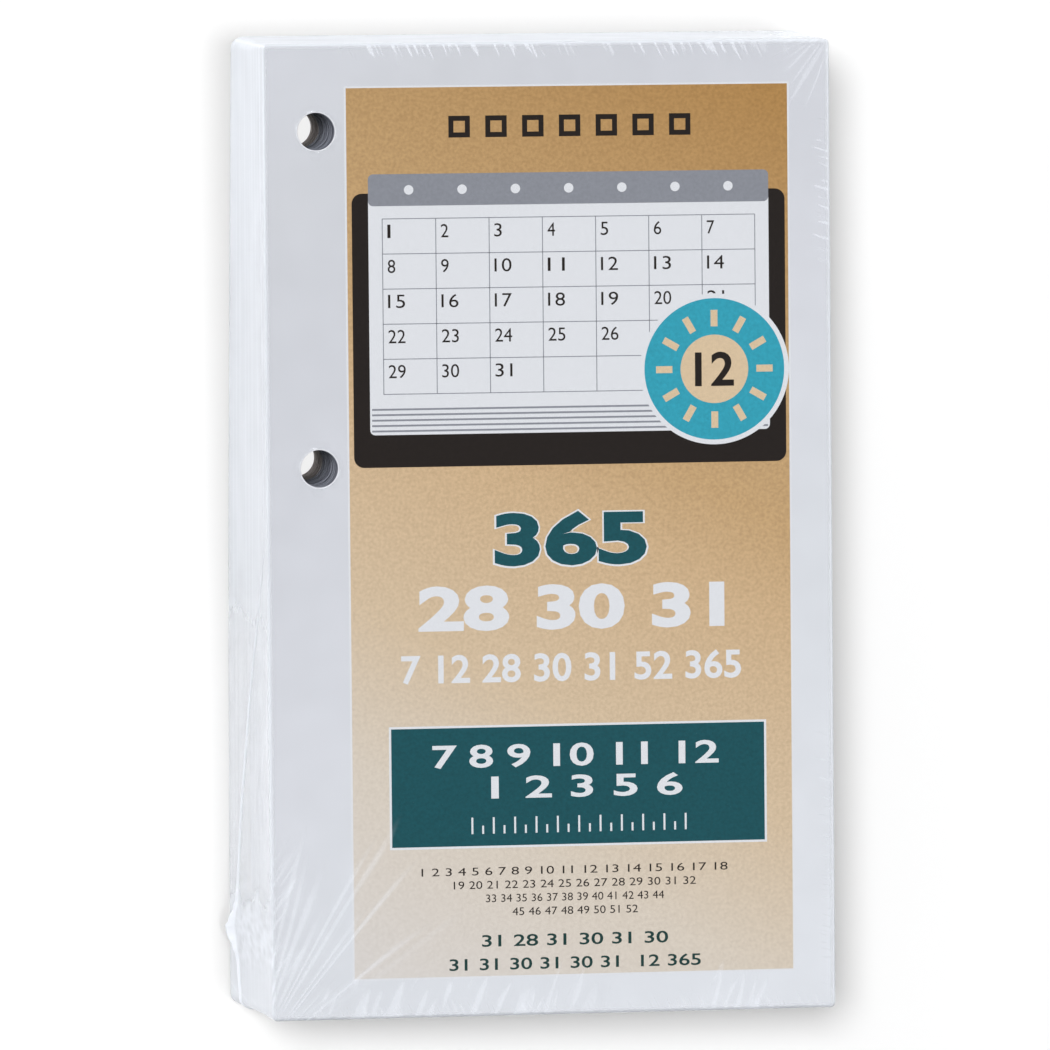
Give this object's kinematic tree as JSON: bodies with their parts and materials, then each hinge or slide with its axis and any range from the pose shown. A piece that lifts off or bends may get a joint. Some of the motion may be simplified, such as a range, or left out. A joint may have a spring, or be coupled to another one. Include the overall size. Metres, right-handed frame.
{
  "type": "calendar refill pack",
  "caption": "Shrink-wrapped pack of loose page-a-day calendar sheets under a printed cover sheet, punched with two holes for a ringed desk stand.",
  "frame": {"origin": "on the underside of the film, below the middle of the sheets", "axes": "+Y along the long side towards the top of the page, +Z out of the cover, +X to the page's right"},
  "size_m": [0.0946, 0.1554, 0.0317],
  "materials": {
    "film": "clear glossy shrink film with fine wrinkles",
    "cover_paper": "smooth white offset paper, printed",
    "page_paper": "uncoated white paper"
  },
  "bodies": {
    "root": {"shrink_film": "film", "cover_sheet": "cover_paper", "week_01_sheets": "page_paper", "week_02_sheets": "page_paper", "week_03_sheets": "page_paper", "week_04_sheets": "page_paper", "week_05_sheets": "page_paper", "week_06_sheets": "page_paper", "week_07_sheets": "page_paper", "week_08_sheets": "page_paper", "week_09_sheets": "page_paper", "week_10_sheets": "page_paper", "week_11_sheets": "page_paper", "week_12_sheets": "page_paper", "week_13_sheets": "page_paper", "week_14_sheets": "page_paper", "week_15_sheets": "page_paper", "week_16_sheets": "page_paper", "week_17_sheets": "page_paper", "week_18_sheets": "page_paper", "week_19_sheets": "page_paper", "week_20_sheets": "page_paper", "week_21_sheets": "page_paper", "week_22_sheets": "page_paper", "week_23_sheets": "page_paper", "week_24_sheets": "page_paper", "week_25_sheets": "page_paper", "week_26_sheets": "page_paper", "week_27_sheets": "page_paper", "week_28_sheets": "page_paper", "week_29_sheets": "page_paper", "week_30_sheets": "page_paper", "week_31_sheets": "page_paper", "week_32_sheets": "page_paper", "week_33_sheets": "page_paper", "week_34_sheets": "page_paper", "week_35_sheets": "page_paper", "week_36_sheets": "page_paper", "week_37_sheets": "page_paper", "week_38_sheets": "page_paper", "week_39_sheets": "page_paper", "week_40_sheets": "page_paper", "week_41_sheets": "page_paper", "week_42_sheets": "page_paper", "week_43_sheets": "page_paper", "week_44_sheets": "page_paper", "week_45_sheets": "page_paper", "week_46_sheets": "page_paper", "week_47_sheets": "page_paper", "week_48_sheets": "page_paper", "week_49_sheets": "page_paper", "week_50_sheets": "page_paper", "week_51_sheets": "page_paper", "week_52_sheets": "page_paper", "day_365_sheet": "page_paper"}
  },
  "joints": []
}
